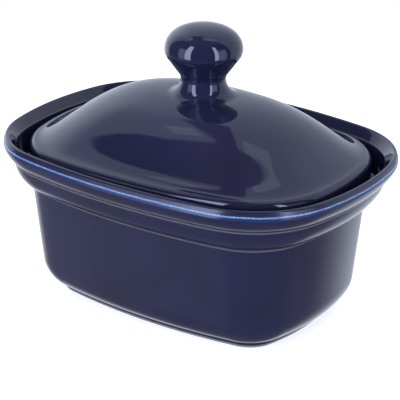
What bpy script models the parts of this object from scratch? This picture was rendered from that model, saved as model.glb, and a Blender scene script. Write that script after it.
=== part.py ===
"""Butter crock: a stoneware box whose rim flares in two bands, and a domed lid with a mushroom knob.

Frame: metres, +Z up. The origin is the middle of the footprint, on the table. +X runs along the length.
Every level of the crock is one outline, four bowed sides joined by corner arcs, drawn at an inset from the
rim's outer edge, so the crock and the lid are each a loft of such outlines along a profile of (inset, height).
"""

import math

import bmesh
import bpy
from mathutils import Vector
from mathutils.geometry import intersect_sphere_sphere_2d

MM = 0.001
FIT_GAP = 0.3 * MM

# Crock, seen from above
RIM_LENGTH = 165.0 * MM
RIM_WIDTH = 125.0 * MM
END_BOW_RADIUS = 120.5 * MM
SIDE_BOW_RADIUS = 267.0 * MM
RIM_CORNER_RADIUS = 41.5 * MM
CORNER_TIGHTENING = 1.1
CORNER_LEAST = 12.0 * MM

# Crock, in section
RIM_HEIGHT = 71.0 * MM
WALL = 5.5 * MM
RIDGE_INSET = 1.3 * MM
RIDGE_CREST = 1.15 * MM
LIP_INSET = 0.1 * MM
LIP_DEPTH = 2.1 * MM
MOUTH_INSET = 5.6 * MM
MOUTH_DEPTH = 3.9 * MM
BAND_ONE_TOP = 3.6 * MM
BAND_ONE_INSET = 4.2 * MM
BAND_ONE_DEPTH = 9.6 * MM
BAND_ONE_BULGE = 0.6 * MM
BAND_STEP = 0.35 * MM
BAND_TWO_INSET = 11.2 * MM
BAND_TWO_DEPTH = 20.7 * MM
BAND_TWO_BULGE = 1.5 * MM
BODY_INSET = 12.8 * MM
BODY_DEPTH = 21.2 * MM
BODY_TAPER = 0.11
BASE_ROUNDING = 14.5 * MM
BASE_CLEARANCE = 1.4 * MM
FOOT_INSET = 26.2 * MM
FOOT_WIDTH = 4.5 * MM
RECESS_DEPTH = 1.6 * MM

# Gallery inside the rim, which carries the lid
GALLERY_DEPTH = 15.0 * MM
GALLERY_INSET = 7.4 * MM

# Lid, which lies slightly turned in its gallery
LID_LENGTH = 143.6 * MM
LID_WIDTH = 104.6 * MM
LID_END_BOW_RADIUS = 112.0 * MM
LID_SIDE_BOW_RADIUS = 255.0 * MM
LID_CORNER_RADIUS = 37.0 * MM
LID_TURN = math.radians(3.5)
LID_EDGE_TOP = 1.3 * MM
LID_EDGE_ROUNDING = 3.0 * MM
LID_THICKNESS = 5.0 * MM
DOME_RISE = 22.9 * MM
DOME_SHOULDER = 3.5
DOME_FLARE = 1.57
CROWN_NARROWING = 0.70
SKIRT_WIDTH = 5.2 * MM
SKIRT_TOP = 6.3 * MM
PAD_RADIUS = 14.0 * MM
PAD_DROP = 0.5 * MM
PAD_REACH = 0.42

# Knob, turned round the lid's centre; heights are above the crock's rim
KNOB_RADIUS = 16.35 * MM
KNOB_TOP = 51.0 * MM
KNOB_EQUATOR = 40.3 * MM
KNOB_CROWN_POWER = 2.28
KNOB_UNDERCUT = 38.6 * MM
NECK_RADIUS = 9.6 * MM
NECK_TOP = 29.4 * MM
NECK_FLARE = 5.0 * MM

# How finely the curves are cut
END_STEPS = 4
CORNER_STEPS = 8
SIDE_STEPS = 5
DOME_LEVELS = 11
KNOB_STEPS = 48
ARC_STEP = math.radians(20)
BAND_STEPS = 6
HOLLOW_REACHES = (0.93, 0.85, 0.76, 0.68, 0.6, 0.5, 0.4)

COBALT = (0.017, 0.019, 0.052, 1.0)
GLAZE_ROUGHNESS = 0.12


# ---------------------------------------------------------------- curves

def arc(centre, radius, start, end, steps):
    """Points on a circular arc in the (inset, height) plane, both ends included."""
    turn = (end - start) / steps
    angles = [start + turn * i for i in range(steps + 1)]
    return [Vector((centre[0] + radius * math.cos(a), centre[1] + radius * math.sin(a))) for a in angles]


def rounded(path):
    """A polyline of (across, height, radius) corners, each corner turned into an arc of its radius."""
    corners = [Vector(p[:2]) for p in path]
    points = [corners[0]]
    for before, corner, after, radius in zip(corners, corners[1:], corners[2:], [p[2] for p in path[1:]]):
        if not radius:
            points.append(corner)
            continue
        towards_before = (before - corner).normalized()
        towards_after = (after - corner).normalized()
        opening = towards_before.angle(towards_after)
        reach = radius / math.tan(opening / 2)
        centre = corner + (towards_before + towards_after).normalized() * (radius / math.sin(opening / 2))
        first = corner + towards_before * reach - centre
        turn = first.angle_signed(corner + towards_after * reach - centre)
        steps = max(2, round(abs(turn) / ARC_STEP))
        # angle_signed counts clockwise, so the arc's own angle runs the other way
        start = math.atan2(first.y, first.x)
        points += arc(centre, radius, start, start - turn, steps)
    return points + [corners[-1]]


def bulged(start, end, bulge):
    """Plain corners between start and end, on a curve that stands out from their chord by bulge."""
    start, end = Vector(start), Vector(end)
    chord = end - start
    out = Vector((chord.y, -chord.x)).normalized()
    corners = []
    for i in range(BAND_STEPS):
        share = i / BAND_STEPS
        point = start + chord * share + out * (4 * bulge * share * (1 - share))
        corners.append((point.x, point.y, 0))
    return corners


def outline(half_length, half_width, end_radius, side_radius, corner_radius):
    """Points round a box shape: four bowed sides joined by corner arcs."""
    end_centre = Vector((half_length - end_radius, 0))
    side_centre = Vector((0, half_width - side_radius))
    crossings = intersect_sphere_sphere_2d(
        end_centre, end_radius - corner_radius, side_centre, side_radius - corner_radius
    )
    corner_centre = max(crossings, key=lambda point: point.x + point.y)
    end_turn = math.atan2(*reversed(corner_centre - end_centre))
    side_turn = math.atan2(*reversed(corner_centre - side_centre))
    quarter = arc(end_centre, end_radius, 0, end_turn, END_STEPS)
    quarter += arc(corner_centre, corner_radius, end_turn, side_turn, CORNER_STEPS)[1:]
    quarter += arc(side_centre, side_radius, side_turn, math.pi / 2, SIDE_STEPS)[1:]
    half = quarter + [Vector((-p.x, p.y)) for p in reversed(quarter[:-1])]
    return half + [Vector((p.x, -p.y)) for p in reversed(half[1:-1])]


def crock_outline(inset):
    """The crock's outline at one inset from its rim's outer edge."""
    corner = max(RIM_CORNER_RADIUS - CORNER_TIGHTENING * inset, CORNER_LEAST)
    return outline(
        RIM_LENGTH / 2 - inset, RIM_WIDTH / 2 - inset, END_BOW_RADIUS - inset, SIDE_BOW_RADIUS - inset, corner
    )


def lid_outline(inset):
    """The lid's outline at one inset from its edge."""
    return outline(
        LID_LENGTH / 2 - inset,
        LID_WIDTH / 2 - inset,
        LID_END_BOW_RADIUS - inset,
        LID_SIDE_BOW_RADIUS - inset,
        LID_CORNER_RADIUS - inset,
    )


def level(points, height):
    return [(p.x, p.y, height) for p in points]


# ---------------------------------------------------------------- meshes

def glaze(name):
    material = bpy.data.materials.new(name)
    material.use_nodes = True
    shader = material.node_tree.nodes["Principled BSDF"]
    shader.inputs["Base Color"].default_value = COBALT
    shader.inputs["Roughness"].default_value = GLAZE_ROUGHNESS
    shader.inputs["Metallic"].default_value = 0.0
    material.diffuse_color = COBALT
    return material


def add_object(name, mesh, collection, parent=None):
    piece = bpy.data.objects.new(name, mesh)
    mesh.materials.append(glaze(name + "_glaze"))
    collection.objects.link(piece)
    piece.parent = parent
    return piece


def loft(name, rings):
    """A closed skin through rings of equal length, each end closed with a flat face."""
    form = bmesh.new()
    rows = [[form.verts.new(point) for point in ring] for ring in rings]
    for lower, upper in zip(rows, rows[1:]):
        for i in range(len(lower)):
            j = (i + 1) % len(lower)
            form.faces.new((lower[i], lower[j], upper[j], upper[i]))
    form.faces.new(rows[0])
    form.faces.new(rows[-1])
    bmesh.ops.recalc_face_normals(form, faces=form.faces)
    mesh = bpy.data.meshes.new(name)
    form.to_mesh(mesh)
    form.free()
    mesh.shade_smooth()
    mesh.set_sharp_from_angle(angle=math.radians(40))
    return mesh


def turned(name, profile):
    """An open profile in the XZ plane, which a Screw modifier turns into a solid."""
    mesh = bpy.data.meshes.new(name)
    points = [(p.x, 0, p.y) for p in profile]
    edges = [(i, i + 1) for i in range(len(points) - 1)]
    mesh.from_pydata(points, edges, [])
    return mesh


# ---------------------------------------------------------------- crock

def body_inset(depth):
    """How far the tapering body stands in from the rim at a depth below the body's top."""
    return BODY_INSET + BODY_TAPER * depth


def base_corner():
    """Centre of the rounding between the body's wall and its underside, and the angle where it starts."""
    underside = BASE_CLEARANCE - RIM_HEIGHT
    lean = math.atan(BODY_TAPER)
    height = underside + BASE_ROUNDING
    wall = body_inset(-BODY_DEPTH - height)
    return Vector((wall + BASE_ROUNDING / math.cos(lean), height)), math.pi + lean


def crock_outside():
    """From the rim's inner edge over the ridge and down the bands and the body to the foot ring."""
    centre, wall_angle = base_corner()
    foot_angle = math.pi + math.acos((centre.x - FOOT_INSET) / BASE_ROUNDING)
    rounding = arc(centre, BASE_ROUNDING, wall_angle, foot_angle, 6)
    band_one_end = (BAND_ONE_INSET, -BAND_ONE_DEPTH)
    band_two_top = (BAND_ONE_INSET + BAND_STEP, -BAND_ONE_DEPTH - BAND_STEP)
    band_two_end = (BAND_TWO_INSET, -BAND_TWO_DEPTH)
    upper = rounded([
        (MOUTH_INSET, -MOUTH_DEPTH, 0),
        (RIDGE_INSET, RIDGE_CREST, 1.0 * MM),
        (LIP_INSET, -LIP_DEPTH, 0.5 * MM),
        (0, -BAND_ONE_TOP, 0.8 * MM),
        *bulged((0, -BAND_ONE_TOP), band_one_end, BAND_ONE_BULGE)[1:],
        (*band_one_end, 0.15 * MM),
        *bulged(band_two_top, band_two_end, BAND_TWO_BULGE),
        (*band_two_end, 0.3 * MM),
        (BODY_INSET, -BODY_DEPTH, 0.3 * MM),
        (rounding[0].x, rounding[0].y, 0),
    ])
    inner_foot = FOOT_INSET + FOOT_WIDTH
    foot = rounded([
        (rounding[-1].x, rounding[-1].y, 0),
        (FOOT_INSET, -RIM_HEIGHT, 0.5 * MM),
        (inner_foot, -RIM_HEIGHT, 0.5 * MM),
        (inner_foot + RECESS_DEPTH / 2, -RIM_HEIGHT + RECESS_DEPTH, 0),
    ])
    return upper + rounding[1:] + foot[1:]


def crock_inside():
    """From the floor up the wall, over the gallery's ledge and up to the rim's inner edge."""
    centre, wall_angle = base_corner()
    rounding = arc(centre, BASE_ROUNDING - WALL, 1.5 * math.pi, wall_angle, 5)
    across_wall = WALL / math.cos(math.atan(BODY_TAPER))
    ledge_edge = body_inset(GALLERY_DEPTH - BODY_DEPTH) + across_wall
    upper = rounded([
        (rounding[-1].x, rounding[-1].y, 0),
        (ledge_edge, -GALLERY_DEPTH, 1.2 * MM),
        (GALLERY_INSET, -GALLERY_DEPTH, 1.0 * MM),
        (MOUTH_INSET, -MOUTH_DEPTH, 0),
    ])
    return rounding[:-1] + upper[:-1]


def make_crock(collection):
    profile = crock_inside() + crock_outside()
    rings = [level(crock_outline(p.x), RIM_HEIGHT + p.y) for p in profile]
    return add_object("crock", loft("crock", rings), collection)


# ---------------------------------------------------------------- lid

def dome_height(reach):
    """Height of the dome above the rim at a share, 0 to 1, of the way from its centre to its shoulder."""
    return -LID_EDGE_TOP + DOME_RISE * (1 - reach ** DOME_SHOULDER) ** DOME_FLARE


def dome_ring(reach, height):
    """A level of the dome: the lid's outline near the edge, turning into a slim ellipse near the crown."""
    shoulder = lid_outline(LID_EDGE_ROUNDING)
    half_length = LID_LENGTH / 2 - LID_EDGE_ROUNDING
    half_width = LID_WIDTH / 2 - LID_EDGE_ROUNDING
    ring = []
    for point in shoulder:
        ellipse = point / math.hypot(point.x / half_length, point.y / half_width)
        ellipse.y *= CROWN_NARROWING
        ring.append(ellipse.lerp(point, reach) * reach)
    return level(ring, height)


def circle_ring(radius, height):
    return level([p.normalized() * radius for p in lid_outline(0)], height)


def lid_rings():
    """Crown pad, dome, rounded edge, the skirt that stands on the ledge, and the hollow under the dome."""
    crown = dome_height(0) - PAD_DROP
    reaches = [PAD_REACH + (1 - PAD_REACH) * i / DOME_LEVELS for i in range(DOME_LEVELS + 1)]
    rings = [circle_ring(PAD_RADIUS, crown)]
    rings += [dome_ring(reach, dome_height(reach)) for reach in reaches]
    seat_face = -GALLERY_DEPTH + FIT_GAP
    edge = rounded([
        (2 * LID_EDGE_ROUNDING, -LID_EDGE_TOP, 0),
        (0, -LID_EDGE_TOP, LID_EDGE_ROUNDING),
        (0, seat_face, 1.2 * MM),
        (SKIRT_WIDTH, seat_face, 1.2 * MM),
        (SKIRT_WIDTH, -SKIRT_TOP, 0),
    ])
    rings += [level(lid_outline(p.x), p.y) for p in edge[2:]]
    for reach in HOLLOW_REACHES:
        rings.append(dome_ring(reach, dome_height(reach) - LID_THICKNESS))
    rings.append(circle_ring(PAD_RADIUS * 0.7, crown - LID_THICKNESS))
    return rings


def make_lid(collection, seat):
    lift = RIM_HEIGHT - seat.location.z
    rings = [[(x, y, z + lift) for x, y, z in ring] for ring in lid_rings()]
    return add_object("lid", loft("lid", rings), collection, seat)


# ---------------------------------------------------------------- knob

def knob_profile():
    """Half the knob's section, from the middle of its top down its outer side to the middle of its foot."""
    power = 2 / KNOB_CROWN_POWER
    crown = []
    for i in range(9):
        turn = math.pi / 2 * i / 8
        across = KNOB_RADIUS * math.sin(turn) ** power
        rise = (KNOB_TOP - KNOB_EQUATOR) * math.cos(turn) ** power
        crown.append(Vector((across, KNOB_EQUATOR + rise)))
    foot = dome_height(0) - PAD_DROP + FIT_GAP
    below = rounded([
        (KNOB_RADIUS, KNOB_EQUATOR, 0),
        (KNOB_RADIUS, KNOB_UNDERCUT, 5 * MM),
        (NECK_RADIUS, NECK_TOP, 4 * MM),
        (NECK_RADIUS, foot, NECK_FLARE),
        (NECK_RADIUS + NECK_FLARE, foot, 0),
    ])
    return crown[:-1] + below[1:-1] + [Vector((0, foot))]


def make_knob(collection, seat):
    lift = RIM_HEIGHT - seat.location.z
    profile = [Vector((p.x, p.y + lift)) for p in knob_profile()]
    knob = add_object("lid_knob", turned("lid_knob", profile), collection, seat)
    screw = knob.modifiers.new("turning", "SCREW")
    screw.axis = "Z"
    screw.steps = KNOB_STEPS
    screw.render_steps = KNOB_STEPS
    screw.use_merge_vertices = True
    screw.merge_threshold = 0.00001
    screw.use_smooth_shade = True
    return knob


# ---------------------------------------------------------------- assembly

def main():
    for item in list(bpy.data.objects):
        bpy.data.objects.remove(item)
    collection = bpy.data.collections.new("butter_crock")
    bpy.context.scene.collection.children.link(collection)
    make_crock(collection)
    seat = bpy.data.objects.new("lid_seat", None)
    seat.location = (0, 0, RIM_HEIGHT - GALLERY_DEPTH)
    seat.rotation_euler.z = LID_TURN
    collection.objects.link(seat)
    make_lid(collection, seat)
    make_knob(collection, seat)


main()
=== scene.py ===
"""Looks of the butter crock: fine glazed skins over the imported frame, with floor, light and camera."""

import math

import bpy
import numpy as np
from mathutils import Matrix, Vector
from mathutils.bvhtree import BVHTree
from mathutils.geometry import intersect_sphere_sphere_2d


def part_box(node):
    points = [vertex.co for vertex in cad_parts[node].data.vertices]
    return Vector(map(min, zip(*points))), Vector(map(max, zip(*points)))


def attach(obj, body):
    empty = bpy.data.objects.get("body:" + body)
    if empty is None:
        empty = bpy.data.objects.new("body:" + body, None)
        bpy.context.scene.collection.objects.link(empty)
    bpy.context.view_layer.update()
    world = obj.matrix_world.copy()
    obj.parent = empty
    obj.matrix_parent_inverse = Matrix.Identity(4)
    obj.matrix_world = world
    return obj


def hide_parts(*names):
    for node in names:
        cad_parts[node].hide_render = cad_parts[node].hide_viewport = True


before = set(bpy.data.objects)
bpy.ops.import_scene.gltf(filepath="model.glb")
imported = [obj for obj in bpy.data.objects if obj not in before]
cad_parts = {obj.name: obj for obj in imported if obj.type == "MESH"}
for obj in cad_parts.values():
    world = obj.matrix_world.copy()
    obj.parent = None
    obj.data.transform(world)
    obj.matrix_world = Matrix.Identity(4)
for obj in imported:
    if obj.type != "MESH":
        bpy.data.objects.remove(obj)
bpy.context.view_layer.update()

MM = 0.001

# Crock, seen from above
END_BOW_RADIUS = 120.5 * MM
SIDE_BOW_RADIUS = 267.0 * MM
RIM_CORNER_RADIUS = 41.5 * MM
CORNER_TIGHTENING = 1.1
CORNER_LEAST = 12.0 * MM

# Crock, in section: insets from the rim's outer edge, depths below the rim's crest
WALL = 5.5 * MM
RIDGE_INSET = 1.3 * MM
RIDGE_CREST = 1.15 * MM
RIDGE_PEAK = 0.2 * MM
LIP_INSET = 0.1 * MM
LIP_DEPTH = 2.1 * MM
MOUTH_INSET = 5.6 * MM
MOUTH_DEPTH = 3.9 * MM
BAND_ONE_TOP = 3.6 * MM
BAND_ONE_INSET = 4.2 * MM
BAND_ONE_DEPTH = 9.6 * MM
BAND_ONE_BULGE = 0.6 * MM
BAND_TWO_INSET = 11.2 * MM
BAND_TWO_DEPTH = 20.7 * MM
BAND_TWO_BULGE = 1.5 * MM
BAND_STEP = 0.35 * MM
BODY_INSET = 12.8 * MM
BODY_DEPTH = 21.2 * MM
BODY_TAPER = 0.11
BASE_ROUNDING = 14.5 * MM
BASE_CLEARANCE = 1.4 * MM
FOOT_INSET = 26.2 * MM
FOOT_WIDTH = 4.5 * MM
RECESS_DEPTH = 1.6 * MM
GROOVE_REACH = 0.25 * MM
GROOVE_SPREAD = 0.40
EDGE_REACH = 0.80 * MM
GALLERY_DEPTH = 15.0 * MM
GALLERY_INSET = 7.4 * MM

# Lid, turned in its gallery; heights are above the crest
LID_END_BOW_RADIUS = 112.0 * MM
LID_SIDE_BOW_RADIUS = 255.0 * MM
LID_CORNER_RADIUS = 37.0 * MM
LID_TURN = math.radians(3.5)
LID_EDGE_TOP = 1.3 * MM
LID_EDGE_ROUNDING = 3.0 * MM
LID_THICKNESS = 5.0 * MM
SEAT_GAP = 0.3 * MM
DOME_RISE = 22.9 * MM
DOME_SHOULDER = 3.5
DOME_FLARE = 1.57
CROWN_NARROWING = 0.70
SKIRT_WIDTH = 5.2 * MM
CROWN_REACH = 0.02
HOLLOW_REACHES = (0.93, 0.05)
BARE_HEIGHT = 1.3 * MM

# Knob; heights are above the crest
KNOB_RADIUS = 16.35 * MM
KNOB_TOP = 51.0 * MM
KNOB_EQUATOR = 40.3 * MM
KNOB_CROWN_POWER = 2.28
KNOB_UNDERCUT = 38.6 * MM
NECK_RADIUS = 9.6 * MM
NECK_TOP = 29.4 * MM
NECK_FLARE = 6.2 * MM
KNOB_LEAN = 1.3 * MM
SEAM_SINK = 0.03 * MM

# Camera
VIEW_AZIMUTH = math.radians(35.43)
VIEW_ELEVATION = math.radians(22.6)
VIEW_ROLL = math.radians(0.8)
VIEW_DISTANCE = 785.0 * MM
VIEW_ASIDE = 0.26 * MM
VIEW_LOW = -25.2 * MM
LENS = 167.2
SENSOR_WIDTH = 36.0
BODY_SHIFT = 0.7 * MM

# How finely the skins are cut
END_STEPS = 26
CORNER_STEPS = 44
SIDE_STEPS = 30
BAND_STEPS = 24
ROUNDING_STEPS = 30
INSIDE_STEPS = 20
CROWN_STEPS = 40
FLARE_STEPS = 24
DOME_RINGS = 70
HOLLOW_RINGS = 40
TURN_STEPS = 160
ARC_LENGTH = 0.35 * MM
FLAT_LENGTH = 1.6 * MM

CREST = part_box("crock")[1].z - RIDGE_PEAK


# ---------------------------------------------------------------- curves

def arc(centre, radius, start, end, steps):
    turn = (end - start) / steps
    angles = [start + turn * i for i in range(steps + 1)]
    return [Vector((centre[0] + radius * math.cos(a), centre[1] + radius * math.sin(a))) for a in angles]


def rounded(path):
    """A polyline of (across, height, radius) corners; each with a radius is turned into a fine arc."""
    corners = [Vector(p[:2]) for p in path]
    points = [corners[0]]
    radii = [p[2] for p in path[1:]]
    for before, corner, after, radius in zip(corners, corners[1:], corners[2:], radii):
        if not radius:
            points.append(corner)
            continue
        towards_before = (before - corner).normalized()
        towards_after = (after - corner).normalized()
        opening = towards_before.angle(towards_after)
        reach = radius / math.tan(opening / 2)
        middle = (towards_before + towards_after).normalized()
        centre = corner + middle * (radius / math.sin(opening / 2))
        first = corner + towards_before * reach - centre
        turn = first.angle_signed(corner + towards_after * reach - centre)
        steps = max(5, math.ceil(abs(turn) * radius / ARC_LENGTH))
        start = math.atan2(first.y, first.x)
        points += arc(centre, radius, start, start - turn, steps)
    return points + [corners[-1]]


def bulged(start, end, bulge):
    """Plain corners from start to end, on a curve that stands out from their chord by bulge."""
    start, end = Vector(start), Vector(end)
    chord = end - start
    out = Vector((chord.y, -chord.x)).normalized()
    corners = []
    for share in np.linspace(0, 1, BAND_STEPS + 1):
        point = start + chord * share + out * (4 * bulge * share * (1 - share))
        corners.append((point.x, point.y, 0))
    return corners


def divided(points):
    """The same line with its long stretches cut into short ones."""
    fine = [points[0]]
    for a, b in zip(points, points[1:]):
        count = max(1, math.ceil((b - a).length / FLAT_LENGTH))
        fine += [a.lerp(b, (i + 1) / count) for i in range(count)]
    return fine


def outline(half_length, half_width, end_radius, side_radius, corner_radius):
    """Points round a box shape: four bowed sides joined by corner arcs."""
    end_centre = Vector((half_length - end_radius, 0))
    side_centre = Vector((0, half_width - side_radius))
    crossings = intersect_sphere_sphere_2d(
        end_centre, end_radius - corner_radius, side_centre, side_radius - corner_radius
    )
    corner_centre = max(crossings, key=lambda point: point.x + point.y)
    end_turn = math.atan2(*reversed(corner_centre - end_centre))
    side_turn = math.atan2(*reversed(corner_centre - side_centre))
    quarter = arc(end_centre, end_radius, 0, end_turn, END_STEPS)
    quarter += arc(corner_centre, corner_radius, end_turn, side_turn, CORNER_STEPS)[1:]
    quarter += arc(side_centre, side_radius, side_turn, math.pi / 2, SIDE_STEPS)[1:]
    quarter = np.array(quarter)
    half = np.vstack([quarter, quarter[-2::-1] * (-1, 1)])
    return np.vstack([half, half[-2:0:-1] * (1, -1)])


def node_size(node, turn):
    """Length and width of a CAD node, measured along axes turned about Z."""
    points = np.array([v.co[:2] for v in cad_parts[node].data.vertices])
    along = points @ (math.cos(turn), math.sin(turn))
    across = points @ (-math.sin(turn), math.cos(turn))
    return np.ptp(along), np.ptp(across)


rim_length, rim_width = node_size("crock", 0)
lid_length, lid_width = node_size("lid", LID_TURN)


def crock_outline(inset):
    corner = max(RIM_CORNER_RADIUS - CORNER_TIGHTENING * inset, CORNER_LEAST)
    return outline(
        rim_length / 2 - inset,
        rim_width / 2 - inset,
        END_BOW_RADIUS - inset,
        SIDE_BOW_RADIUS - inset,
        corner,
    )


def lid_outline(inset):
    return outline(
        lid_length / 2 - inset,
        lid_width / 2 - inset,
        LID_END_BOW_RADIUS - inset,
        LID_SIDE_BOW_RADIUS - inset,
        LID_CORNER_RADIUS - inset,
    )


def level(points, height):
    return np.column_stack([points, np.full(len(points), height)])


# ---------------------------------------------------------------- skins

def skin(name, rings, **marks):
    """A smooth closed mesh through rings of equal length.

    Marks are one number a ring, kept on the mesh for the glaze.
    """
    count = len(rings[0])
    points = np.vstack(rings)
    rows = np.arange(len(rings) - 1)[:, None] * count
    i = np.arange(count)
    j = (i + 1) % count
    quads = np.stack([rows + i, rows + count + i, rows + count + j, rows + j], axis=-1).reshape(-1, 4)
    faces = quads.tolist()
    faces.append(list(range(count)))
    faces.append([(len(rings) - 1) * count + k for k in reversed(range(count))])
    mesh = bpy.data.meshes.new(name)
    mesh.from_pydata(points.tolist(), [], faces)
    mesh.update()
    mesh.shade_smooth()
    for mark, values in marks.items():
        attribute = mesh.attributes.new(mark, "FLOAT", "POINT")
        attribute.data.foreach_set("value", np.repeat(values, count).astype(np.float32))
    piece = bpy.data.objects.new(name, mesh)
    bpy.context.scene.collection.objects.link(piece)
    return piece


# ---------------------------------------------------------------- crock

def body_inset(depth):
    return BODY_INSET + BODY_TAPER * depth


def base_corner():
    underside = BASE_CLEARANCE - CREST
    lean = math.atan(BODY_TAPER)
    height = underside + BASE_ROUNDING
    wall = body_inset(-BODY_DEPTH - height)
    return Vector((wall + BASE_ROUNDING / math.cos(lean), height)), math.pi + lean


def crock_outside():
    centre, wall_angle = base_corner()
    foot_angle = math.pi + math.acos((centre.x - FOOT_INSET) / BASE_ROUNDING)
    rounding = arc(centre, BASE_ROUNDING, wall_angle, foot_angle, ROUNDING_STEPS)
    band_one_end = (BAND_ONE_INSET, -BAND_ONE_DEPTH)
    band_two_top = (BAND_ONE_INSET + BAND_STEP, -BAND_ONE_DEPTH - BAND_STEP)
    band_two_end = (BAND_TWO_INSET, -BAND_TWO_DEPTH)
    upper = rounded([
        (MOUTH_INSET, -MOUTH_DEPTH, 0),
        (RIDGE_INSET, RIDGE_CREST, 1.0 * MM),
        (LIP_INSET, -LIP_DEPTH, 0.5 * MM),
        (0, -BAND_ONE_TOP, 0.25 * MM),
        *bulged((0, -BAND_ONE_TOP), band_one_end, BAND_ONE_BULGE)[1:-1],
        (*band_one_end, 0.12 * MM),
        (*band_two_top, 0.12 * MM),
        *bulged(band_two_top, band_two_end, BAND_TWO_BULGE)[1:-1],
        (*band_two_end, 0.15 * MM),
        (BODY_INSET, -BODY_DEPTH, 0.3 * MM),
        (rounding[0].x, rounding[0].y, 0),
    ])
    inner_foot = FOOT_INSET + FOOT_WIDTH
    foot = rounded([
        (rounding[-1].x, rounding[-1].y, 0),
        (FOOT_INSET, -CREST, 0.5 * MM),
        (inner_foot, -CREST, 0.5 * MM),
        (inner_foot + RECESS_DEPTH / 2, -CREST + RECESS_DEPTH, 0),
    ])
    return upper + rounding[1:] + foot[1:]


def crock_inside():
    centre, wall_angle = base_corner()
    rounding = arc(centre, BASE_ROUNDING - WALL, 1.5 * math.pi, wall_angle, INSIDE_STEPS)
    across_wall = WALL / math.cos(math.atan(BODY_TAPER))
    ledge_edge = body_inset(GALLERY_DEPTH - BODY_DEPTH) + across_wall
    upper = rounded([
        (rounding[-1].x, rounding[-1].y, 0),
        (ledge_edge, -GALLERY_DEPTH, 1.5 * MM),
        (GALLERY_INSET, -GALLERY_DEPTH, 2.0 * MM),
        (MOUTH_INSET, -MOUTH_DEPTH, 0.7 * MM),
        (RIDGE_INSET, RIDGE_CREST, 0),
    ])
    return rounding[:-1] + upper[:-1]


def drift(height):
    """How far the body stands off the rim's middle: thrown and pressed clay is never quite square."""
    below = max(0, (-height - BODY_DEPTH) / (CREST - BODY_DEPTH))
    share = min(max(-height / BODY_DEPTH, 0), 1) - 0.65 * below
    return np.array([math.cos(VIEW_AZIMUTH), math.sin(VIEW_AZIMUTH)]) * BODY_SHIFT * share


def from_groove(point):
    """Distance from the nearer step; it grows slowly up a band, where the painted highlight spreads
    widest.
    """
    band_two_top = (BAND_ONE_INSET + BAND_STEP, -BAND_ONE_DEPTH - BAND_STEP)
    steps = [
        ((BAND_ONE_INSET, -BAND_ONE_DEPTH), band_two_top, GROOVE_REACH),
        ((BAND_TWO_INSET, -BAND_TWO_DEPTH), (BODY_INSET, -BODY_DEPTH), EDGE_REACH),
    ]
    distances = []
    for upper, lower, reach in steps:
        if point.y >= upper[1]:
            distances.append(reach + (point - Vector(upper)).length * GROOVE_SPREAD)
        elif point.y <= lower[1]:
            distances.append(GROOVE_REACH + (point - Vector(lower)).length)
        else:
            distances.append(GROOVE_REACH / 10)
    return min(distances)


def make_crock():
    inside, outside = crock_inside(), crock_outside()
    profile = divided(inside + outside[1:])
    rings = [level(crock_outline(p.x) - drift(p.y), CREST + p.y) for p in profile]
    from_lip = [(p - Vector((LIP_INSET, -LIP_DEPTH))).length for p in profile]
    crest = profile.index(max(profile, key=lambda p: p.y))
    below_lip = [i > crest and p.y < -LIP_DEPTH for i, p in enumerate(profile)]
    lip = [-d if below else d for below, d in zip(below_lip, from_lip)]
    mouth = [(p - Vector((MOUTH_INSET, -MOUTH_DEPTH))).length for p in profile]
    groove = [from_groove(p) if i > crest else CREST for i, p in enumerate(profile)]
    bare = [float(p.y < BARE_HEIGHT - CREST) for p in profile]
    return skin("crock_skin", rings, lip=lip, mouth=mouth, groove=groove, bare=bare)


# ---------------------------------------------------------------- lid

def dome_height(reach):
    return -LID_EDGE_TOP + DOME_RISE * (1 - reach ** DOME_SHOULDER) ** DOME_FLARE


def dome_ring(reach, height):
    shoulder = lid_outline(LID_EDGE_ROUNDING)
    half_length = lid_length / 2 - LID_EDGE_ROUNDING
    half_width = lid_width / 2 - LID_EDGE_ROUNDING
    size = np.hypot(shoulder[:, 0] / half_length, shoulder[:, 1] / half_width)
    ellipse = shoulder / size[:, None] * (1, CROWN_NARROWING)
    return level((ellipse + (shoulder - ellipse) * reach) * reach, height)


def make_lid():
    reaches = np.linspace(CROWN_REACH, 1, DOME_RINGS)
    rings = [dome_ring(reach, dome_height(reach)) for reach in reaches]
    seat_face = -GALLERY_DEPTH + SEAT_GAP
    edge = rounded([
        (2 * LID_EDGE_ROUNDING, -LID_EDGE_TOP, 0),
        (0, -LID_EDGE_TOP, LID_EDGE_ROUNDING),
        (0, seat_face, 1.2 * MM),
        (SKIRT_WIDTH, seat_face, 1.2 * MM),
        (SKIRT_WIDTH, -LID_EDGE_TOP - LID_THICKNESS, 0),
    ])
    rings += [level(lid_outline(p.x), p.y) for p in divided(edge[2:])]
    for reach in np.linspace(*HOLLOW_REACHES, HOLLOW_RINGS):
        rings.append(dome_ring(reach, dome_height(reach) - LID_THICKNESS))
    bare = [float(ring[0, 2] < seat_face + 0.01 * MM) for ring in rings]
    lid = skin("lid_skin", rings, bare=bare)
    lid.data.transform(Matrix.Translation((0, 0, CREST)) @ Matrix.Rotation(LID_TURN, 4, "Z"))
    return lid


# ---------------------------------------------------------------- knob

def knob_profile():
    power = 2 / KNOB_CROWN_POWER
    crown = []
    for i in range(1, CROWN_STEPS + 1):
        turn = math.pi / 2 * i / CROWN_STEPS
        across = KNOB_RADIUS * math.sin(turn) ** power
        rise = (KNOB_TOP - KNOB_EQUATOR) * max(0, math.cos(turn)) ** power
        crown.append(Vector((across, KNOB_EQUATOR + rise)))
    below = rounded([
        (KNOB_RADIUS, KNOB_EQUATOR, 0),
        (KNOB_RADIUS, KNOB_UNDERCUT, 5 * MM),
        (NECK_RADIUS, NECK_TOP, 3.5 * MM),
        (NECK_RADIUS, dome_height(0) + NECK_FLARE, 0),
    ])
    return crown[:-1] + divided(below[1:])


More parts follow.
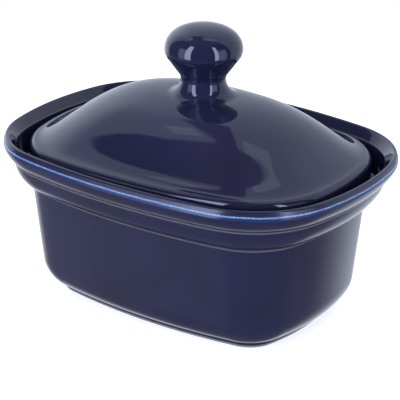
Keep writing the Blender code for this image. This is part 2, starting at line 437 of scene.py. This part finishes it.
def make_knob(lid):
    """The turned knob, whose neck flares out until it lies along the lid's dome."""
    turns = np.linspace(0, 2 * math.pi, TURN_STEPS, endpoint=False)
    circle = np.column_stack([np.cos(turns), np.sin(turns)])
    middle = np.array([math.cos(VIEW_AZIMUTH), math.sin(VIEW_AZIMUTH)]) * KNOB_LEAN
    rings = [level(circle * p.x + middle, CREST + p.y) for p in knob_profile()]
    polygons = [list(face.vertices) for face in lid.data.polygons]
    dome = BVHTree.FromPolygons([v.co for v in lid.data.vertices], polygons)
    for turn in np.linspace(0, math.pi / 2, FLARE_STEPS)[1:]:
        across = circle * (NECK_RADIUS + NECK_FLARE * (1 - math.cos(turn))) + middle
        rise = NECK_FLARE * (1 - math.sin(turn)) - SEAM_SINK
        heights = [dome.ray_cast((x, y, CREST + KNOB_TOP), (0, 0, -1))[0].z + rise for x, y in across]
        rings.append(np.column_stack([across, heights]))
    rings.append(rings[-1] - (0, 0, LID_THICKNESS / 2))
    return skin("knob_skin", rings)


# ---------------------------------------------------------------- nodes

class Graph:
    """Short calls that add nodes to a material's or world's tree and link them."""

    def __init__(self, tree):
        self.tree = tree

    def node(self, kind, inputs=None, **settings):
        node = self.tree.nodes.new(kind)
        for name, value in settings.items():
            setattr(node, name, value)
        for name, value in (inputs or {}).items():
            self.feed(node.inputs[name], value)
        return node

    def feed(self, socket, value):
        if isinstance(value, bpy.types.NodeSocket):
            self.tree.links.new(value, socket)
        else:
            socket.default_value = value

    def maths(self, operation, *values):
        node = self.tree.nodes.new("ShaderNodeMath")
        node.operation = operation
        for socket, value in zip(node.inputs, values):
            self.feed(socket, value)
        return node.outputs[0]

    def ramp(self, value, start, end, low=0.0, high=1.0):
        """low below start, high above end, and a smooth rise between them."""
        node = self.node("ShaderNodeMapRange", interpolation_type="SMOOTHSTEP")
        for name, number in {
            "Value": value, "From Min": start, "From Max": end, "To Min": low, "To Max": high
        }.items():
            self.feed(node.inputs[name], number)
        return node.outputs["Result"]

    def window(self, value, start, end, edge):
        """1 between start and end, falling smoothly to 0 over edge on both sides."""
        rise = self.ramp(value, start - edge / 2, start + edge / 2)
        fall = self.ramp(value, end - edge / 2, end + edge / 2, 1.0, 0.0)
        return self.maths("MULTIPLY", rise, fall)

    def mixed(self, share, a, b):
        node = self.node("ShaderNodeMix", data_type="RGBA")
        self.feed(node.inputs["Factor"], share)
        self.feed(node.inputs[6], a)
        self.feed(node.inputs[7], b)
        return node.outputs[2]


# ---------------------------------------------------------------- glaze

COBALT_DEEP = (0.0098, 0.0104, 0.0295, 1)
COBALT_THIN = (0.0122, 0.0128, 0.037, 1)
INDIGO = (0.016, 0.028, 0.095, 1)
AZURE = (0.14, 0.25, 0.42, 1)
# Bright spots along the lip: partly glaze crystals, partly painted glints
SPARKLE = (0.50, 0.62, 0.80, 1)
# Grey of the painted highlights on the mouth edge and the step edges
HIGHLIGHT_GREY = (0.140, 0.138, 0.150, 1)
SPECK = (0.55, 0.58, 0.62, 1)
CLAY = (0.34, 0.33, 0.31, 1)
CLAY_DARK = (0.24, 0.235, 0.225, 1)
GLAZE_IOR = 1.5

# How finely each irregularity of the glaze and the clay is grained; the sparkles are partly painted
# glints, and the mouth and groove wanders shift the edges of painted highlights and shade
CLOUD_SCALE = 38.0
GLOSS_SCALE = 24.0
LIP_WANDER_SCALE = 90.0
MOUTH_WANDER_SCALE = 120.0
GROOVE_WANDER_SCALE = 150.0
PEEL_SCALE = 170.0
SPECK_SCALE = 170.0
FOOT_SCALE = 400.0
CLAY_SCALE = 700.0
GRAIN_SCALE = 1500.0
SPARKLE_SCALE = 1600.0

# A mark that isn't on a mesh reads as 0, so a mark counts only above this
LEAST_MARK = 1e-9

# Bands along the lip: start, end and soft edge, in millimetres from the lip
HALO = (-1.3, 0.5, 1.6)
CORE = (-0.26, 0.26, 0.4)
SATIN = (-1.3, 2.4, 1.4)

# Painted highlights on the mouth edge and the step edges, and painted shade in the step grooves: each
# fades from the first distance in millimetres to the second
MOUTH_HIGHLIGHT_FADE = (0.7, 0.1)
STEP_HIGHLIGHT_FADE = (1.45, 0.8)
# Painted shade: how the darkened core of each step groove fades
STEP_SHADE_FADE = (0.62, 0.38)
MOUTH_HIGHLIGHT_SHARE = 0.5
STEP_HIGHLIGHT_SHARE = 0.65

SPECK_CHANCE = 0.985
SPECK_FADE = (0.07, 0.03)
GLOSS_LEAST = 0.02
GLOSS_SPREAD = 0.03
SATIN_ROUGHNESS = 0.20
CLAY_ROUGHNESS = 0.65
PEEL_STRENGTH = 0.35
PEEL_DEPTH = 0.04 * MM
GRAIN_DEPTH = 0.15 * MM


def make_glaze():
    """Dark cobalt glaze in thick and thin clouds, breaking azure at the lip, where its sparkles are
    partly painted glints; grey painted highlights on the mouth and step edges and painted shade in the
    step grooves.
    """
    material = bpy.data.materials.new("cobalt_glaze")
    material.use_nodes = True
    g = Graph(material.node_tree)
    place = g.node("ShaderNodeTexCoord").outputs["Object"]

    def noise(scale, detail=2.0):
        inputs = {"Vector": place, "Scale": scale, "Detail": detail}
        return g.node("ShaderNodeTexNoise", inputs).outputs["Fac"]

    def mark(name):
        return g.node("ShaderNodeAttribute", attribute_name=name).outputs["Fac"]

    def distance(name, wander):
        """A mark's distance in millimetres, wandering a little from place to place."""
        shift = g.maths("MULTIPLY_ADD", wander, 0.5, -0.25)
        return g.maths("ADD", g.maths("DIVIDE", mark(name), MM), shift)

    clouds = g.ramp(noise(CLOUD_SCALE), 0.35, 0.65)
    colour = g.mixed(clouds, COBALT_DEEP, COBALT_THIN)
    has_lip = g.maths("GREATER_THAN", g.maths("ABSOLUTE", mark("lip")), LEAST_MARK)
    lip = distance("lip", noise(LIP_WANDER_SCALE))
    halo = g.maths("MULTIPLY", g.window(lip, *HALO), has_lip)
    core = g.maths("MULTIPLY", g.window(lip, *CORE), has_lip)
    # Sparkles along the lip: partly glaze crystals, partly painted glints
    sparkle = g.maths("MULTIPLY", core, g.ramp(noise(SPARKLE_SCALE), 0.56, 0.70))
    has_groove = g.maths("GREATER_THAN", mark("groove"), LEAST_MARK)
    from_mouth = distance("mouth", noise(MOUTH_WANDER_SCALE))
    # Painted highlight: a grey line along the mouth's inner edge
    mouth = g.maths("MULTIPLY", g.ramp(from_mouth, *MOUTH_HIGHLIGHT_FADE), has_groove)
    colour = g.mixed(g.maths("MULTIPLY", mouth, MOUTH_HIGHLIGHT_SHARE), colour, HIGHLIGHT_GREY)
    groove = distance("groove", g.maths("MULTIPLY_ADD", noise(GROOVE_WANDER_SCALE), 0.5, 0.25))
    # Painted highlights: grey lines along the step edges of the bands
    step_highlights = g.maths("MULTIPLY", g.ramp(groove, *STEP_HIGHLIGHT_FADE), has_groove)
    colour = g.mixed(g.maths("MULTIPLY", step_highlights, STEP_HIGHLIGHT_SHARE), colour, HIGHLIGHT_GREY)
    # Painted shade: the groove between the step edges is darkened to deep cobalt
    groove_shade = g.maths("MULTIPLY", g.ramp(groove, *STEP_SHADE_FADE), has_groove)
    colour = g.mixed(groove_shade, colour, COBALT_DEEP)
    colour = g.mixed(halo, colour, INDIGO)
    colour = g.mixed(core, colour, AZURE)
    colour = g.mixed(sparkle, colour, SPARKLE)
    cells = g.node("ShaderNodeTexVoronoi", {"Vector": place, "Scale": SPECK_SCALE})
    chance = g.node("ShaderNodeSeparateColor", {"Color": cells.outputs["Color"]}).outputs[0]
    rare = g.maths("GREATER_THAN", chance, SPECK_CHANCE)
    speck = g.maths("MULTIPLY", rare, g.ramp(cells.outputs["Distance"], *SPECK_FADE))
    colour = g.mixed(speck, colour, SPECK)
    bare = g.maths("MULTIPLY", mark("bare"), g.ramp(noise(FOOT_SCALE), 0.2, 0.35))
    colour = g.mixed(bare, colour, g.mixed(noise(CLAY_SCALE), CLAY, CLAY_DARK))

    roughness = g.maths("MULTIPLY_ADD", noise(GLOSS_SCALE), GLOSS_SPREAD, GLOSS_LEAST)
    satin = g.maths("MULTIPLY", g.window(lip, *SATIN), has_lip)
    roughness = g.maths("MULTIPLY_ADD", satin, SATIN_ROUGHNESS, roughness)
    roughness = g.maths("MULTIPLY_ADD", bare, CLAY_ROUGHNESS, roughness)
    peel_height, grain_height = noise(PEEL_SCALE), noise(GRAIN_SCALE, 4.0)
    peel_inputs = {"Height": peel_height, "Strength": PEEL_STRENGTH, "Distance": PEEL_DEPTH}
    peel = g.node("ShaderNodeBump", peel_inputs)
    grain_inputs = {"Height": grain_height, "Strength": bare, "Distance": GRAIN_DEPTH}
    grain = g.node("ShaderNodeBump", grain_inputs)
    g.feed(grain.inputs["Normal"], peel.outputs[0])
    shader = material.node_tree.nodes["Principled BSDF"]
    g.feed(shader.inputs["Base Color"], colour)
    g.feed(shader.inputs["Roughness"], roughness)
    g.feed(shader.inputs["Normal"], grain.outputs[0])
    shader.inputs["IOR"].default_value = GLAZE_IOR
    return material


# ---------------------------------------------------------------- studio

ROOM = (0.11, 0.12, 0.15, 1)
ROOM_TOP = (0.23, 0.20, 0.21, 1)
TENT = (0.80, 0.86, 1.06, 1)
BACKDROP = (1.30, 1.42, 1.66, 1)
OVERHEAD = (1.30, 1.42, 1.60, 1)
BOOM = (0.20, 0.16, 0.21, 1)
SIDE_GLOW = (1.40, 1.50, 1.90, 1)
STRIP = (5.4, 6.1, 9.4, 1)
TABLE_FRONT = (0.27, 0.26, 0.32, 1)
TABLE_LEFT = (0.44, 0.44, 0.52, 1)
TABLE_BACK = (1.0, 1.07, 1.2, 1)
TABLE_UNDER = (0.22, 0.22, 0.24, 1)
SOFT_LOW = (0.5, 0.5, 0.5, 1)
SOFT_HIGH = (0.95, 0.95, 0.95, 1)
FLOOR_RADIUS = 340.0 * MM
FLOOR_SIDES = 96
FLOOR_WHITE = (0.85, 0.85, 0.85, 1)
FLOOR_GLOW = 0.62

# Where the shapes of light are: windows of the direction's sideways and forwards parts, and of
# azimuth and elevation in degrees
PANEL_RIGHT = ((0.05, 0.35), (-0.20, -0.06))
PANEL_LEFT = ((-0.44, -0.33), (-0.27, -0.16))
BOOM_PLACE = ((-0.30, -0.03), (-0.42, 0.30))
GLOW_RISE = (-18, 27)
GLOW_LEFT = (-78, -38)
GLOW_RIGHT = (34, 70)
STRIP_RISE = (-16, 52)
STRIP_LEFT = (-56, -38)
STRIP_RIGHT = (33, 44)


def make_floor():
    """A pale disc, whose own faint glow lifts it to white.

    Glossy rays take the table's light from the world instead.
    """
    mesh = bpy.data.meshes.new("floor")
    turns = np.linspace(0, 2 * math.pi, FLOOR_SIDES, endpoint=False)
    rim = level(np.column_stack([np.cos(turns), np.sin(turns)]) * FLOOR_RADIUS, 0)
    mesh.from_pydata(rim.tolist(), [], [list(range(FLOOR_SIDES))])
    floor = bpy.data.objects.new("floor", mesh)
    bpy.context.scene.collection.objects.link(floor)
    floor.visible_glossy = False
    material = bpy.data.materials.new("pale_floor")
    material.use_nodes = True
    shader = material.node_tree.nodes["Principled BSDF"]
    shader.inputs["Base Color"].default_value = FLOOR_WHITE
    shader.inputs["Roughness"].default_value = 0.9
    shader.inputs["Specular IOR Level"].default_value = 0.0
    shader.inputs["Emission Color"].default_value = (1, 1, 1, 1)
    shader.inputs["Emission Strength"].default_value = FLOOR_GLOW
    mesh.materials.append(material)


def make_world():
    """A white tent behind and above, a dark room in front with two strip softboxes, a table below.

    The glaze mirrors these shapes. What lights it softly is a plain even glow, brighter from above.
    """
    world = bpy.data.worlds.new("studio")
    bpy.context.scene.world = world
    world.use_nodes = True
    g = Graph(world.node_tree)
    direction = g.node("ShaderNodeTexCoord").outputs["Generated"]
    turn = {"Vector": direction, "Angle": -VIEW_AZIMUTH}
    turned = g.node("ShaderNodeVectorRotate", turn, rotation_type="Z_AXIS")
    parts = g.node("ShaderNodeSeparateXYZ", {"Vector": turned.outputs[0]})
    aside, up = parts.outputs["X"], parts.outputs["Z"]
    ahead = g.maths("MULTIPLY", parts.outputs["Y"], -1.0)
    azimuth = g.maths("ARCTAN2", aside, ahead)
    elevation = g.maths("ARCSINE", up)

    def between(value, degrees, edge):
        """A window between two angles, its edge in degrees too."""
        return g.window(value, math.radians(degrees[0]), math.radians(degrees[1]), math.radians(edge))

    def patch(light, colour, *masks):
        mask = masks[0]
        for other in masks[1:]:
            mask = g.maths("MULTIPLY", mask, other)
        return g.mixed(mask, light, colour)

    skew = g.maths("MULTIPLY_ADD", aside, -0.18, ahead)
    far_left = g.maths("MAXIMUM", g.maths("SUBTRACT", -0.50, aside), 0.0)
    left_shift = g.ramp(aside, -0.25, -0.40, 0.0, -0.05)
    tent_edge = g.maths("MULTIPLY_ADD", far_left, 0.9, g.maths("ADD", skew, left_shift))
    light = g.mixed(g.ramp(up, 0.84, 0.92), ROOM, ROOM_TOP)
    light = patch(light, TENT, g.ramp(tent_edge, -0.05, -0.09))
    light = patch(light, BACKDROP, g.ramp(aside, -0.05, -0.45), g.ramp(ahead, -0.35, -0.75))
    above = g.ramp(up, 0.3, 0.4)
    for sideways, forwards in (PANEL_RIGHT, PANEL_LEFT):
        panel = g.window(aside, *sideways, 0.03), g.window(ahead, *forwards, 0.02)
        light = patch(light, OVERHEAD, above, *panel)
    boom = g.window(aside, *BOOM_PLACE[0], 0.04), g.window(ahead, *BOOM_PLACE[1], 0.05)
    light = patch(light, BOOM, above, *boom)
    for side in (GLOW_LEFT, GLOW_RIGHT):
        light = patch(light, SIDE_GLOW, between(elevation, GLOW_RISE, 10), between(azimuth, side, 6))
    table = g.mixed(between(azimuth, (-125, -50), 30), TABLE_FRONT, TABLE_LEFT)
    table = g.mixed(g.ramp(skew, -0.30, -0.80), table, TABLE_BACK)
    under = g.maths("MULTIPLY", g.ramp(up, -0.5, -0.92), g.ramp(ahead, -0.62, -0.30))
    table = g.mixed(under, table, TABLE_UNDER)
    light = g.mixed(g.ramp(up, -0.20, -0.45), light, table)
    for side in (STRIP_LEFT, STRIP_RIGHT):
        light = patch(light, STRIP, between(elevation, STRIP_RISE, 5), between(azimuth, side, 3))
    path = g.node("ShaderNodeLightPath").outputs
    soft = g.mixed(g.ramp(up, -0.4, 0.9), SOFT_LOW, SOFT_HIGH)
    light = g.mixed(path["Is Diffuse Ray"], light, soft)
    light = g.mixed(path["Is Camera Ray"], light, (1, 1, 1, 1))
    g.feed(world.node_tree.nodes["Background"].inputs["Color"], light)


def make_camera():
    az, el, roll = VIEW_AZIMUTH, VIEW_ELEVATION, VIEW_ROLL
    back = Vector((math.sin(az) * math.cos(el), -math.cos(az) * math.cos(el), math.sin(el)))
    right = Vector((math.cos(az), math.sin(az), 0))
    up = back.cross(right)
    right, up = (
        right * math.cos(roll) + up * math.sin(roll),
        up * math.cos(roll) - right * math.sin(roll),
    )
    data = bpy.data.cameras.new("camera")
    camera = bpy.data.objects.new("camera", data)
    bpy.context.scene.collection.objects.link(camera)
    rotation = Matrix((right, up, back)).transposed().to_4x4()
    place = Vector((0, 0, CREST)) + right * VIEW_ASIDE + up * VIEW_LOW + back * VIEW_DISTANCE
    camera.matrix_world = Matrix.Translation(place) @ rotation
    data.lens = LENS
    data.sensor_width = SENSOR_WIDTH
    data.clip_start = 10 * MM
    bpy.context.scene.camera = camera


def main():
    glaze = make_glaze()
    crock, lid = make_crock(), make_lid()
    knob = make_knob(lid)
    for piece in (crock, lid, knob):
        piece.data.materials.append(glaze)
    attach(crock, "crock")
    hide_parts("crock")
    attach(lid, "lid")
    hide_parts("lid")
    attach(knob, "lid")
    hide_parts("lid_knob")
    make_floor()
    make_world()
    make_camera()
    bpy.context.scene.view_settings.view_transform = "Standard"


main()
